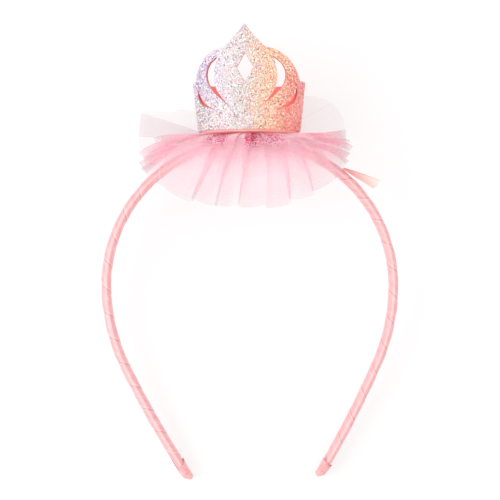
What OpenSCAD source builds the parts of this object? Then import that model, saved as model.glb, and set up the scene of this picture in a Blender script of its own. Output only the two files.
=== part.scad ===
// Mini crown headband, lying on its back.
// A U-shaped band wound with ribbon carries a felt disc, a gathered net ruffle and a small open crown.
// Everything is drawn as it is worn (X to the right, Z up, front towards -Y, the centre of the band's
// round top at the origin), then laid on its back with the crown's point towards +Y.

/* [Band] */
// Outer radius of the band's round top
band_r = 65; // [58:0.5:72]
// Outer radius of the sides below the round top
side_r = 85; // [78:1:110]
// Angle that each side turns through
side_turn = 25; // [15:1:30]
// Outer radius of the nearly straight legs
leg_r = 450; // [250:10:900]
// Length of each leg with its tip
leg_len = 57; // [40:1:70]
// Thickness of the band, seen from the front
band_t = 4; // [3:0.1:5]
// Depth of the band from front to back
band_d = 7; // [5:0.5:10]
// Rounding of the band's edges
band_corner = 1.6; // [0.5:0.1:1.9]

/* [Tips] */
// Length of the folded ribbon over each end
tip_len = 9; // [7:0.5:14]
// Wall of the folded ribbon
tip_wall = 1; // [1:0.1:1.2]
// How far the folded ribbon stands out past the band
tip_swell = 0.3; // [0.2:0.05:0.6]
// Slant of the ribbon's cut edge
tip_slant = 22; // [0:1:30]

/* [Crown] */
// Outer radius of the crown at its rim
crown_r = 22.1; // [18:0.1:26]
// Outward slope of the crown's wall
crown_flare = 5.8; // [2:0.1:6]
// Height from the rim to the front point
crown_h = 45.5; // [40:0.5:52]
// Height of the plain wall round the back
wall_h = 22.2; // [19:0.1:24]
// Thickness of the glitter fabric
shell_t = 1; // [1:0.1:1.4]
// Thickness of the felt lining
lining_t = 1; // [1:0.1:1.4]
// Width of the lining that shows below the glitter fabric
hem_w = 0.8; // [0.4:0.1:1.5]
// Height of the rim above the underside of the felt disc
rim_lift = 0.1; // [0:0.1:0.6]
// Thickness of the felt disc
base_t = 2; // [1.8:0.1:3]
// Angle that the crown is turned to the wearer's right about its own axis
crown_spin = 4.2; // [0:0.5:8]
// Angle round the band from its top to the middle of the crown
crown_side = 1.15; // [0:0.05:4]

/* [Crown front] */
// Width between the nicks on both sides of the point, along the rim
nick_w = 16; // [13:0.5:20]
// Height of the nicks
nick_h = 35.5; // [31:0.5:38]
// Width across the round shoulders, along the rim
shoulder_w = 53; // [46:1:58]
// Bulge of the round shoulders
shoulder_bulge = 2.3; // [1:0.1:3.5]
// Hollow of the point's two edges
point_hollow = 0.4; // [0:0.1:1]
// Width of the diamond hole, along the rim
diamond_w = 6.4; // [4:0.2:8]
// Height of the diamond hole
diamond_h = 12.3; // [8:0.5:14]
// Height of the middle of the diamond hole
diamond_z = 27; // [24:0.2:28]

/* [Ruffle] */
// Distance from the crown's axis to the widest hem
ruffle_reach = 50; // [46:0.5:56]
// Drop of the longest hem below the crown's rim
ruffle_drop = 34; // [28:0.5:40]
// Thickness of each layer of net
cloth = 1; // [1:0.05:1.2]
// Number of pleats in a full turn
pleats = 22; // [16:1:26]
// Depth of the pleats at the widest hem
pleat_depth = 3.6; // [1:0.2:4.4]
// Depth of the notches in the hem between pleats
hem_notch = 2.2; // [0:0.2:4]
// Length of the rear layer behind the crown
rear_len = 15; // [10:0.5:18]

/* [Label] */
// Length of the label
label_len = 16.7; // [10:0.1:22]
// Width of the label
label_w = 8; // [5:0.5:9]
// Thickness of the folded label
label_t = 1; // [0.8:0.1:1.2]
// Place of the label round the band, from the widest point up
label_at = 50; // [46:1:60]
// Angle at which the label leaves the band
label_leave = 13; // [10:1:35]
// Twist of the label from its root to its end
label_twist = 34; // [0:1:60]

/* [Hidden] */

// Clearance between pieces that are glued or sewn together
seam_gap = 0.15;
// Fineness of the round pieces
arc_fn = 180;
// Steps round one corner of the band's section
corner_steps = 5;
eps = 0.01;

// Band and tips
leg_turn = leg_len/leg_r*180/PI;
tip_turn = tip_len/leg_r*180/PI;
side_centre = [band_r - side_r, 0];
leg_centre = side_centre + (side_r - leg_r)*[cos(side_turn), -sin(side_turn)];
// Angle of the leg where the tip starts, and the centre of the band there
tip_angle = side_turn + leg_turn - tip_turn;
tip_start = leg_centre + (leg_r - band_t/2)*[cos(tip_angle), -sin(tip_angle)];
tip_dir = [-sin(tip_angle), -cos(tip_angle)];
tip_t = band_t + 2*tip_swell;
tip_d = band_d + 2*tip_swell;
core_t = tip_t - 2*tip_wall - 2*seam_gap;
core_d = tip_d - 2*tip_wall - 2*seam_gap;
// Where the ribbon's cut edge crosses the middle of the band
tip_mouth = 1.5;
// Angle by which the leg laps over the side and runs on under the tip, with half of it for the side's
// lap over the round top, and how much thicker each is wound
lap = 0.8;
wind_step = 0.05;
tip_z = tip_start[1] + (tip_len - tip_t/2)*tip_dir[1] - tip_t/2;

// Crown
// The felt disc lies on the top layer of net, which lies on the band
base_z = band_r + 2*seam_gap + cloth;
rim_z = base_z + rim_lift;
lining_in = shell_t + seam_gap;
crown_in = lining_in + lining_t;
base_r = crown_r - crown_in - seam_gap;

// Lying on its back: the floor touches the tips and clears the crown's rear rim by the rear layer
rear_y = crown_r + cloth + seam_gap;
tilt = atan((rear_y - tip_d/2)/(rim_z - tip_z));
lift = tip_d/2*cos(tilt) - tip_z*sin(tilt);

function crown_radius(h) = crown_r + h*tan(crown_flare);
// Point of the crown's wall: distance along the rim, height above the rim, depth in from the outside
function crown_point(u, h, depth) =
    let (a = u/crown_r*180/PI - crown_spin, r = crown_radius(h) - depth)
    [r*sin(a), -r*cos(a), rim_z + h];
// A point of the crown or ruffle, turned round the band with them
function turned(p) =
    [p[0]*cos(crown_side) + p[2]*sin(crown_side), p[1], p[2]*cos(crown_side) - p[0]*sin(crown_side)];
function laid_y(p) = p[1]*sin(tilt) + p[2]*cos(tilt);
function laid_z(p) = lift - p[1]*cos(tilt) + p[2]*sin(tilt);

centre_y = (laid_y(turned(crown_point(0, crown_h, crown_in))) + laid_y([0, -tip_d/2, tip_z]))/2;
function laid(p) = [p[0], laid_y(p) - centre_y, laid_z(p)];

module lay() translate([0, -centre_y, lift]) rotate([tilt - 90, 0, 0]) children();
module seat() lay() rotate([0, crown_side, 0]) children();

// Rounded oblong section, its corners as short steps of an arc
function oblong(w, d, r) =
    [for (q = [0:3], i = [0:corner_steps])
        let (a = 90*q + 90*i/corner_steps,
             sx = q == 0 || q == 3 ? 1 : -1,
             sy = q < 2 ? 1 : -1)
        [sx*(w/2 - r) + r*cos(a), sy*(d/2 - r) + r*sin(a)]];

// Solid skinned through rings of points. Each ring runs out along one face and back along the other,
// so an open end closes between the two.
module skin(rings, closed = false) {
    n = len(rings);
    m = len(rings[0]);
    sides = [for (i = [0:(closed ? n : n - 1) - 1], k = [0:m - 1])
        let (a = i*m + k, b = i*m + (k + 1)%m, c = ((i + 1)%n)*m + (k + 1)%m, d = ((i + 1)%n)*m + k)
        each [[a, b, c], [a, c, d]]];
    caps = closed ? [] : [for (k = [0:m/2 - 2])
        let (a = k, b = k + 1, c = m - 2 - k, d = m - 1 - k, e = (n - 1)*m)
        each [[a, c, b], [a, d, c], [e + a, e + b, e + c], [e + a, e + c, e + d]]];
    polyhedron(points = [for (ring = rings) each ring], faces = concat(sides, caps), convexity = 8);
}

// Rings of a sheet of the given thickness, half to each side of a surface f(s, t).
// The offset follows the surface's normal, from the differences of nearby points.
function sheet_rings(f, rows, cols, thick) =
    [for (i = [0:rows])
        let (s = i/rows,
             mid = [for (j = [0:cols]) f(s, j/cols)],
             off = [for (j = [0:cols])
                 let (t = j/cols,
                      n = cross(f(s + eps, t) - f(s - eps, t), f(s, t + eps) - f(s, t - eps)))
                 n/norm(n)*thick/2])
        concat([for (j = [0:cols]) mid[j] + off[j]], [for (j = [cols:-1:0]) mid[j] - off[j]])];

// Band
// Part of the band along an arc: its outer radius, where it starts, how far it turns, and how much
// larger its section is on every side
module band_arc(outer, start, turn, grow = 0) {
    rotate([0, 0, start]) rotate_extrude(angle = turn, $fn = arc_fn)
        translate([outer - band_t/2, 0])
            polygon(oblong(band_t + 2*grow, band_d + 2*grow, band_corner + grow));
}

// Moves what is drawn along +Z at the origin to the start of the right tip
module at_tip() {
    translate([tip_start[0], 0, tip_start[1]]) rotate([0, 180 + tip_angle, 0]) children();
}

// Everything on the tip's side of the ribbon's slanted edge, moved on by a distance
module past_mouth(move) {
    size = 4*(tip_len + band_d);
    translate([0, 0, tip_mouth + move]) rotate([0, tip_slant, 0])
        translate([-size/2, -size/2, 0]) cube(size);
}

// Side and leg, and the bare strip inside the tip. The side is wound a hair thicker than the round top
// and laps over it, and so does the leg over the side. The strip starts well inside the leg.
module band_half() {
    rotate([90, 0, 0]) translate(side_centre) band_arc(side_r, -side_turn, side_turn + lap/2, wind_step);
    difference() {
        rotate([90, 0, 0]) translate(leg_centre)
            band_arc(leg_r, -tip_angle - lap/2, tip_angle - side_turn + lap, 2*wind_step);
        at_tip() past_mouth(0);
    }
    at_tip() translate([0, 0, -tip_mouth])
        linear_extrude(tip_len + tip_mouth - tip_wall - seam_gap)
            polygon(oblong(core_t, core_d, core_t/3));
}

module band() {
    color("#f4a6b2") lay() {
        rotate([90, 0, 0]) band_arc(band_r, 0, 180);
        band_half();
        mirror([1, 0, 0]) band_half();
    }
}

// Tips
// Cap of folded ribbon: an oblong sleeve with a round end and a slanted mouth
module tip() {
    at_tip() difference() {
        intersection() {
            linear_extrude(tip_len) polygon(oblong(tip_t, tip_d, band_corner));
            rotate([90, 0, 0]) linear_extrude(2*tip_d, center = true) union() {
                translate([-tip_t/2, 0]) square([tip_t, tip_len - tip_t/2]);
                translate([0, tip_len - tip_t/2]) circle(d = tip_t, $fn = 48);
            }
            past_mouth(seam_gap);
        }
        translate([0, 0, -eps]) linear_extrude(tip_len - tip_wall + eps)
            polygon(oblong(core_t + 2*seam_gap, core_d + 2*seam_gap, core_t/3 + seam_gap));
    }
}

module tip_right() color("#f2a0ac") lay() tip();

module tip_left() color("#f2a0ac") lay() mirror([1, 0, 0]) tip();

// Crown
// Curve from a to b that swells by a bulge; a skew under 1 moves the fullest part towards a
function swell(a, b, bulge, skew, t) =
    let (n = [a[1] - b[1], b[0] - a[0]]/norm(b - a))
    a + t*(b - a) + bulge*sin(180*pow(t, skew))*n;

// Front of the crown's top edge, on one side of the point: [along the rim, height]
point_steps = 4;
shoulder_steps = 12;
nick = [nick_w/2, nick_h];
foot = [shoulder_w/2, wall_h];
point_edge = [for (i = [0:point_steps]) swell([0, crown_h], nick, -point_hollow, 1, i/point_steps)];
shoulder_edge = [for (i = [0:shoulder_steps]) swell(nick, foot, shoulder_bulge, 0.8, i/shoulder_steps)];

// Crescent cut-outs on each side of the front. The places along the rim and the bulges are shares of
// half the shoulder width, the heights are shares of the nick height.
TOP_U = 0;
TOP_H = 1;
END_U = 2;
END_H = 3;
OUTER = 4;
INNER = 5;
crescents = [
    [0.41, 0.90, 0.23, 0.29, 0.305, 0.168],
    [0.92, 0.54, 0.52, 0.27, 0.138, 0.062]];
crescent_skew = 0.68;
crescent_steps = 12;
// How far the cutters run past the wall, and past the start of the next cut
cut_over = 1;
cut_past = 0.15;

// Cuts an outline of the front's pattern through the wall: a straight cut that starts at the crown's
// axis. Its direction is part of the way from straight ahead (a turn of 0) to square to the wall at
// the outline's middle (1), so that little of the cloth's edge shows from the front. Places along the
// rim become places across the view from there.
cut_turn = 0.3;
module pattern_cut(outline) {
    us = [for (p = outline) p[0]];
    turn = cut_turn*(min(us) + max(us))/2/crown_r*180/PI;
    rotate([0, 0, turn - crown_spin]) translate([0, 0, rim_z]) rotate([90, 0, 0])
        linear_extrude(crown_radius(crown_h) + cut_over)
            polygon([for (p = outline) [crown_radius(p[1])*sin(p[0]/crown_r*180/PI - turn), p[1]]]);
}

function mirrored(outline) = [for (p = outline) [-p[0], p[1]]];

function crescent_outline(row) =
    let (half = shoulder_w/2,
         a = [row[TOP_U]*half, row[TOP_H]*nick_h],
         b = [row[END_U]*half, row[END_H]*nick_h])
    concat([for (i = [0:crescent_steps])
                swell(a, b, row[OUTER]*half, crescent_skew, i/crescent_steps)],
           [for (i = [crescent_steps - 1:-1:1]) swell(a, b, row[INNER]*half, 1, i/crescent_steps)]);

module cutouts() {
    for (row = crescents) {
        pattern_cut(crescent_outline(row));
        pattern_cut(mirrored(crescent_outline(row)));
    }
    pattern_cut([[0, diamond_z + diamond_h/2], [diamond_w/2, diamond_z],
                 [0, diamond_z - diamond_h/2], [-diamond_w/2, diamond_z]]);
}

// All that lies over the top edge: over the point, over each shoulder, and over the level wall round
// the back. Each cut runs a little past the next one's start, and the shoulders' stay a hair above the
// level one.
module over_top() {
    top = crown_h + 2*cut_over;
    past_nick = nick + cut_past*[1, -1];
    beside = nick + cut_over*[3, 1];
    point_side = concat(point_edge, [past_nick, beside, [beside[0], top]]);
    pattern_cut(concat(point_side,
                       mirrored([for (i = [len(point_side) - 1:-1:1]) point_side[i]])));
    shoulder_side = concat([[nick[0] - cut_past, top], nick + cut_past*[-1, 2]],
                           [for (p = shoulder_edge) p + [0, cut_past]],
                           [foot + cut_over*[1, 0.5], [foot[0] + cut_over, top]]);
    pattern_cut(shoulder_side);
    pattern_cut(mirrored(shoulder_side));
    foot_a = (foot[0] - 2*cut_past)/crown_r*180/PI;
    rotate([0, 0, foot_a - 90 - crown_spin]) rotate_extrude(angle = 360 - 2*foot_a, $fn = arc_fn)
        translate([crown_r - crown_in - cut_over, rim_z + wall_h])
            square([crown_radius(top) - crown_r + crown_in + 2*cut_over, top - wall_h]);
}

// Wall of the crown between two depths, from a height above the rim to the top edge
module crown_wall(from, to, foot) {
    top = crown_h + cut_over;
    difference() {
        translate([0, 0, rim_z]) rotate_extrude($fn = arc_fn)
            polygon([[crown_radius(foot) - to, foot], [crown_radius(foot) - from, foot],
                     [crown_radius(top) - from, top], [crown_radius(top) - to, top]]);
        over_top();
        cutouts();
    }
}

module crown_shell() color("#eccbd3") seat() crown_wall(0, shell_t, hem_w);

module crown_lining() color("#fb827d") seat() crown_wall(lining_in, crown_in, 0);

module crown_base() {
    color("#f58f93") seat() translate([0, 0, base_z]) cylinder(r = base_r, h = base_t, $fn = 96);
}

// Ruffle
// Hem of each front layer. ANGLE runs round the crown from the front, REACH and DROP are shares of
// ruffle_reach and ruffle_drop.
ANGLE = 0;
REACH = 1;
DROP = 2;
lower_hem = [
    [-112, 0.90, 0.30], [-95, 0.94, 0.37], [-78, 0.94, 0.47], [-60, 0.98, 0.60], [-50, 0.95, 0.79],
    [-42, 0.90, 0.89], [-22, 0.77, 0.98], [0, 0.72, 1.00], [20, 0.74, 0.97], [40, 0.84, 0.84],
    [58, 0.88, 0.64], [76, 0.86, 0.42], [94, 0.87, 0.28], [112, 0.87, 0.20]];
middle_hem = [
    [-112, 0.90, 0.20], [-95, 0.94, 0.26], [-78, 0.95, 0.32], [-60, 0.93, 0.41], [-42, 0.83, 0.52],
    [-22, 0.74, 0.60], [0, 0.70, 0.61], [20, 0.71, 0.60], [40, 0.78, 0.54], [58, 0.86, 0.38],
    [76, 0.90, 0.25], [94, 0.89, 0.15], [112, 0.87, 0.09]];
upper_hem = [
    [-112, 0.76, 0.03], [-95, 0.82, 0.08], [-78, 0.84, 0.12], [-60, 0.84, 0.17], [-42, 0.78, 0.23],
    [-22, 0.71, 0.31], [0, 0.69, 0.32], [20, 0.70, 0.31], [40, 0.73, 0.25], [58, 0.80, 0.14],
    [76, 0.86, 0.05], [94, 0.86, 0.01], [112, 0.82, 0.00]];
// How far round the crown the front layers reach from the front
front_span = 112;
// Shoulder of each front layer, as a share of the way from its gather to its hem
lower_shoulder = 0.50;
middle_shoulder = 0.60;
upper_shoulder = 0.68;
// How late each layer turns down: 2 is an even curve, more keeps it level for longer
lower_turn = 2;
middle_turn = 3.1;
upper_turn = 3.8;
layer_rows = 68;
layer_cols = 6;

// Value of a table's column at an angle, eased over a few degrees
function eased(table, column, a, ease = 6) =
    let (pairs = [for (row = table) [row[ANGLE], row[column]]])
    (lookup(a - ease, pairs) + 2*lookup(a, pairs) + lookup(a + ease, pairs))/4;

// Height of a layer's middle where it is gathered, counted from the disc down
layer_gap = 0.45;
function gather_z(layer) = base_z - seam_gap - cloth/2 - layer*(cloth + layer_gap);
// Radius where that layer clears the round top of the band
gather_r_min = 0.36*crown_r;
function gather_r(layer) =
    sqrt(max(pow(gather_r_min, 2), pow(band_r + seam_gap, 2) - pow(gather_z(layer) - cloth/2, 2)));

// Pleats of uneven width: a cosine whose phase wanders round the crown
function pleat_wave(a) = cos(pleats*a + 45*sin(1.7*a + 20) + 20*sin(5.3*a));
// Pleats start at the disc's edge and deepen towards the hem
function pleat_size(r) = pleat_depth*pow(max(0, r - base_r)/(ruffle_reach - base_r), 1.3);

// Front layer: from its gather out over a shoulder and down to its hem, pushed along its normal by
// the pleats
function front_point(layer, hem, shoulder, turn, s, t) =
    let (a = front_span*(2*s - 1),
         wave = pleat_wave(a),
         r0 = gather_r(layer),
         z0 = gather_z(layer),
         r2 = eased(hem, REACH, a)*ruffle_reach - hem_notch*(1 - wave)/2,
         z2 = rim_z - eased(hem, DROP, a)*ruffle_drop,
         r1 = r0 + shoulder*(r2 - r0),
         r = r0*(1 - t)*(1 - t) + 2*r1*t*(1 - t) + r2*t*t,
         z = z0 + (z2 - z0)*pow(max(0, t), turn),
         dr = 2*(1 - t)*(r1 - r0) + 2*t*(r2 - r1),
         dz = turn*(z2 - z0)*pow(max(0, t), turn - 1),
         w = wave*pleat_size(r)/norm([dr, dz]),
         rr = r - w*dz)
    [rr*sin(a), -rr*cos(a), z + w*dr];

module front_layer(layer, hem, shoulder, turn) {
    skin(sheet_rings(function (s, t) front_point(layer, hem, shoulder, turn, s, t),
                     layer_rows, layer_cols, cloth));
}

module tulle_upper() color("#fbb8cc") seat() front_layer(0, upper_hem, upper_shoulder, upper_turn);

module tulle_middle() color("#fcc4d4") seat() front_layer(1, middle_hem, middle_shoulder, middle_turn);

module tulle_lower() color("#fbdbe4") seat() front_layer(2, lower_hem, lower_shoulder, lower_turn);

// Rear layer, drawn on the floor. ANGLE is the direction from the middle of the crown's rear rim,
// with 0 towards the crown's point; REACH is a share of ruffle_reach beyond the length behind the
// crown, RIPPLE the height of the hem's waves as a share of the pleat depth, TOUCH the share of the
// way to the hem at which the net reaches the floor.
RIPPLE = 2;
TOUCH = 3;
rear_hem = [
    [-108, 0.62, 0.3, 0.55], [-90, 0.69, 0.6, 0.52], [-78, 0.70, 0.8, 0.48], [-70, 0.72, 0.8, 0.42],
    [-64, 0.42, 0.4, 0.30], [-58, 0.22, 0.0, 0.20], [-40, 0.06, 0.0, 0.14], [-20, 0.00, 0.0, 0.12],
    [0, 0.00, 0.0, 0.10], [20, 0.02, 0.0, 0.12], [40, 0.20, 0.0, 0.14], [53, 0.38, 0.6, 0.24],
    [63, 0.50, 0.9, 0.36], [77, 0.57, 0.9, 0.48], [90, 0.57, 0.7, 0.52], [108, 0.56, 0.3, 0.55]];
rear_span = 108;
// How far round the disc the rear layer is gathered, to each side of the middle of the back
rear_gather = 52;
// Width of the rear layer that is sewn under the disc
rear_sewn = 2;
rear_gather_r = base_r - rear_sewn;
rear_rows = 54;
rear_ripples = 13;
// How far below the rim's underside the rear layer fans out
rear_step = 1.2;
// Middle of the crown's rear rim, on the floor
rear_hub = laid(turned([0, crown_r, rim_z - cloth - rear_step]));

// Straight on the floor from the hem in to where it touches, then curled up under the felt disc
function rear_point(s, t) =
    let (side = 2*s - 1,
         a = rear_span*side,
         g = rear_gather*side,
         from = laid(turned([rear_gather_r*sin(g), rear_gather_r*cos(g), gather_z(1)])),
         reach = rear_len + eased(rear_hem, REACH, a, 2)*ruffle_reach,
         dir = [sin(a), cos(a), 0],
         touch = eased(rear_hem, TOUCH, a),
         floor_z = [0, 0, cloth/2 - rear_hub[2]],
         down = rear_hub + floor_z + touch*reach*dir,
         below = [(3*from[0] + down[0])/4, (7*from[1] + down[1])/8, cloth/2],
         u = t/curl_share,
         v = (t - curl_share)/(1 - curl_share),
         far = touch + v*(1 - touch),
         wave = (1 - cos(rear_ripples*a))/2*eased(rear_hem, RIPPLE, a)*pleat_depth)
    t < curl_share
        ? (1 - u)*(1 - u)*from + 2*u*(1 - u)*below + u*u*down
        : rear_hub + floor_z + far*reach*dir + [0, 0, wave*v*v];
// Share of the rear layer's steps spent on the curl
curl_share = 0.5;

module tulle_rear() color("#f9dfe6") skin(sheet_rings(function (s, t) rear_point(s, t), rear_rows, 8, cloth));

// Label
// Folded strip that leaves the band's outer face at an angle and turns a little to the front
module label() {
    root = (band_r + seam_gap + label_t/2)*[cos(label_at), sin(label_at)];
    way = label_at - 90 + label_leave;
    steps = 8;
    color("#f6ddd9") lay() skin([for (i = [0:steps])
        let (s = i/steps,
             p = root + s*label_len*[cos(way), sin(way)],
             a = label_twist*s,
             up = [-sin(way)*cos(a), sin(a), cos(way)*cos(a)]*label_t/2,
             across = [-sin(way)*sin(a), -cos(a), cos(way)*sin(a)]*label_w/2,
             mid = [p[0], 0, p[1]])
        [mid - across - up, mid + across - up, mid + across + up, mid - across + up]]);
}

band();
tip_left();
tip_right();
crown_base();
crown_lining();
crown_shell();
tulle_rear();
tulle_lower();
tulle_middle();
tulle_upper();
label();
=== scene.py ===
import math
import bpy
import numpy as np
from mathutils import Matrix


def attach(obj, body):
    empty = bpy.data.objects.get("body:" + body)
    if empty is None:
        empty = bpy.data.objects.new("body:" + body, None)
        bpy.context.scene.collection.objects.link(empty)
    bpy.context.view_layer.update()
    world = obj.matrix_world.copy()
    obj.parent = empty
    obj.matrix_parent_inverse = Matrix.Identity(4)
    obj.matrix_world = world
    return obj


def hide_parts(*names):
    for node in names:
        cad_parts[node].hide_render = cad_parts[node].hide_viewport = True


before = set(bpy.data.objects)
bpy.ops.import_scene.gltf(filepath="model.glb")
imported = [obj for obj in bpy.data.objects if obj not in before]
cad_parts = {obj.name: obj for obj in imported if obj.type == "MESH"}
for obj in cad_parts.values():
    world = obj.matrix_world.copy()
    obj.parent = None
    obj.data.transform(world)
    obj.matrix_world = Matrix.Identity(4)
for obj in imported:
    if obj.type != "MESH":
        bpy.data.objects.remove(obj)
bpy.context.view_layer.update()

# Mini crown headband: the looks. Lengths are in millimetres and drawn as the headband is worn
# (X right, Z up, front towards -Y, the centre of the band's round top at the origin), then laid on
# its back and turned to metres by one function.
print("frame loaded:", len(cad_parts), "nodes")

headband = {
    "topRadius": 65,      # outer radius of the round top
    "sideRadius": 85,
    "sideTurn": 25,       # degrees
    "legRadius": 450,
    "legLength": 57,
    "thickness": 4,       # seen from the front
    "depth": 7,           # front to back
    "seam": 0.15,         # clearance between glued pieces
}
tip = {
    "length": 9,
    "swell": 0.3,         # how far it stands out past the band
    "mouth": 1.5,         # where the slanted edge crosses the middle
    "slant": 22,          # degrees
}
crown = {
    "radius": 22.1,
    "flare": 5.8,         # degrees
    "height": 45.5,
    "shell": 1,
    "lining": 1,
    "rimLift": 0.1,
    "spin": 4.2,          # degrees about its own axis
    "side": 1.15,         # degrees round the band
}
net = {
    "reach": 50,
    "drop": 34,
    "cloth": 1,
    "pleats": 22,         # in a full turn
    "pleatDepth": 3.6,
    "hemNotch": 2.2,
    "span": 112,          # degrees to each side of the front
    "layerGap": 0.45,
    "gatherMin": 7.96,
}


# Where things are
def cosd(a):
    return np.cos(np.radians(a))


def sind(a):
    return np.sin(np.radians(a))


baseZ = headband["topRadius"] + 2*headband["seam"] + net["cloth"]
rimZ = baseZ + crown["rimLift"]
crownIn = crown["shell"] + headband["seam"] + crown["lining"]
baseRadius = crown["radius"] - crownIn - headband["seam"]
tipThickness = headband["thickness"] + 2*tip["swell"]
tipDepth = headband["depth"] + 2*tip["swell"]
sideCentre = np.array([headband["topRadius"] - headband["sideRadius"], 0.0])
legCentre = sideCentre + (headband["sideRadius"] - headband["legRadius"])*np.array(
    [cosd(headband["sideTurn"]), -sind(headband["sideTurn"])])
tipAngle = headband["sideTurn"] + np.degrees((headband["legLength"] - tip["length"])/headband["legRadius"])
tipStart = legCentre + (headband["legRadius"] - headband["thickness"]/2)*np.array(
    [cosd(tipAngle), -sind(tipAngle)])
tipWay = np.array([-sind(tipAngle), -cosd(tipAngle)])
tipZ = tipStart[1] + (tip["length"] - tipThickness/2)*tipWay[1] - tipThickness/2

# at rest it lies on the two tips and on the net under the crown's rear rim
rearReach = crown["radius"] + net["cloth"] + headband["seam"]
tilt = math.degrees(math.atan((rearReach - tipDepth/2)/(rimZ - tipZ)))
lift = tipDepth/2*cosd(tilt) - tipZ*sind(tilt)
slope = math.tan(math.radians(crown["flare"]))
pointRadius = crown["radius"] + crown["height"]*slope - crownIn
pointX = -pointRadius*sind(crown["spin"])
pointY = -pointRadius*cosd(crown["spin"])
pointZ = (rimZ + crown["height"])*cosd(crown["side"]) - pointX*sind(crown["side"])
centreY = (pointY*sind(tilt) + pointZ*cosd(tilt) - tipDepth/2*sind(tilt) + tipZ*cosd(tilt))/2


# Worn millimetres to the row's metres: tipped back about X, moved to the middle, lifted to the floor
def laid(p):
    x, y, z = p[..., 0], p[..., 1], p[..., 2]
    return np.stack([x, y*sind(tilt) + z*cosd(tilt) - centreY,
                     lift - y*cosd(tilt) + z*sind(tilt)], -1)/1000


# The same for what sits with the crown, which is turned a little round the band first
def seated(p):
    x, y, z = p[..., 0], p[..., 1], p[..., 2]
    c, s = cosd(crown["side"]), sind(crown["side"])
    return laid(np.stack([x*c + z*s, y, z*c - x*s], -1))


# The way back, for what is worked out from the crown's own mesh
def unseated(row):
    q = row*1000 - np.array([0, -centreY, lift])
    y = q[..., 1]*sind(tilt) - q[..., 2]*cosd(tilt)
    z = q[..., 1]*cosd(tilt) + q[..., 2]*sind(tilt)
    c, s = cosd(crown["side"]), sind(crown["side"])
    return np.stack([q[..., 0]*c - z*s, y, z*c + q[..., 0]*s], -1)


# Colours and materials
def linear(hexText):
    c = np.array([int(hexText[i:i + 2], 16) for i in (1, 3, 5)])/255
    low = c <= 0.04045
    return [*np.where(low, c/12.92, ((c + 0.055)/1.055)**2.4), 1.0]


def newMaterial(name):
    mat = bpy.data.materials.new(name)
    mat.use_nodes = True
    mat.node_tree.nodes.clear()
    return mat


# Adds a shader node with its settings; a socket given as an input is linked, anything else is its value
def addNode(mat, kind, inputs=None, **settings):
    node = mat.node_tree.nodes.new("ShaderNode" + kind)
    for key, value in settings.items():
        setattr(node, key, value)
    for key, value in (inputs or {}).items():
        if isinstance(value, bpy.types.NodeSocket):
            mat.node_tree.links.new(value, node.inputs[key])
        else:
            node.inputs[key].default_value = value
    return node


def ramp(mat, factor, stops):
    node = addNode(mat, "ValToRGB", {"Fac": factor})
    els = node.color_ramp.elements
    while len(els) < len(stops):
        els.new(0.5)
    for el, (at, hexText) in zip(els, stops):
        el.position = at
        el.color = linear(hexText)
    return node.outputs["Color"]


# Short forms of the common nodes, each giving the wanted output
def reckon(mat, operation, *values, **settings):
    values = dict(enumerate(values))
    return addNode(mat, "Math", values, operation=operation, **settings).outputs["Value"]


def mapped(mat, value, start, end, low=0.0, high=1.0, smooth=False):
    return addNode(mat, "MapRange", {
        "Value": value, "From Min": start, "From Max": end, "To Min": low, "To Max": high},
        interpolation_type="SMOOTHSTEP" if smooth else "LINEAR").outputs["Result"]


def noise(mat, vector, scale, detail, roughness=0.5):
    return addNode(mat, "TexNoise", {
        "Vector": vector, "Scale": scale, "Detail": detail, "Roughness": roughness}).outputs["Fac"]


def bumpy(mat, height, strength, depth):
    return addNode(mat, "Bump", {
        "Height": height, "Strength": strength, "Distance": depth}).outputs["Normal"]


def mixed(mat, factor, first, second, blend="MIX"):
    return addNode(mat, "Mix", {"Factor": factor, 6: first, 7: second},
                   data_type="RGBA", blend_type=blend).outputs[2]


def valueOf(mat, name):
    return addNode(mat, "Attribute", attribute_name=name).outputs["Fac"]


def onCloth(mat):
    return addNode(mat, "UVMap", uv_map="UVMap").outputs["UV"]


def parted(mat, vector):
    node = addNode(mat, "SeparateXYZ", {"Vector": vector})
    return node.outputs["X"], node.outputs["Y"], node.outputs["Z"]


def finishMaterial(mat, **sockets):
    named = {key.replace("_", " "): value for key, value in sockets.items()}
    shader = addNode(mat, "BsdfPrincipled", named)
    addNode(mat, "OutputMaterial", {"Surface": shader.outputs["BSDF"]})
    return mat


# Object coordinates in the crown's own frame, in millimetres: X right, Z along its axis from the band
def crownCoordinates(mat):
    coords = addNode(mat, "TexCoord")
    tipped = Matrix.Rotation(math.radians(tilt - 90), 4, "X")
    turned = Matrix.Rotation(math.radians(crown["side"]), 4, "Y")
    back = (Matrix.Translation((0, -centreY, lift)) @ tipped @ turned).inverted()
    return addNode(mat, "Mapping", {
        "Vector": coords.outputs["Object"],
        "Location": back.to_translation(),
        "Rotation": back.to_euler(),
        "Scale": (1000, 1000, 1000)}).outputs["Vector"]


# Pieces
def linked(name, data):
    piece = bpy.data.objects.new(name, data)
    bpy.context.collection.objects.link(piece)
    return piece


def unit(v):
    return v/np.maximum(np.linalg.norm(v, axis=-1, keepdims=True), 1e-12)


def meshPiece(name, points, faces, uv=None, smooth=True):
    mesh = bpy.data.meshes.new(name)
    mesh.from_pydata(points.reshape(-1, 3).tolist(), [], faces)
    if uv is not None:
        layer = mesh.uv_layers.new(name="UVMap")
        layer.data.foreach_set("uv", uv.ravel())
    mesh.polygons.foreach_set("use_smooth", np.full(len(mesh.polygons), smooth))
    mesh.update()
    return linked(name, mesh)


# Corners of the quads of a grid whose rows run one way and columns the other
def gridFaces(index, flip=False):
    ring = [index[:-1, :-1], index[1:, :-1], index[1:, 1:], index[:-1, 1:]]
    return np.stack(ring[::-1] if flip else ring, -1).reshape(-1, 4)


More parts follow.
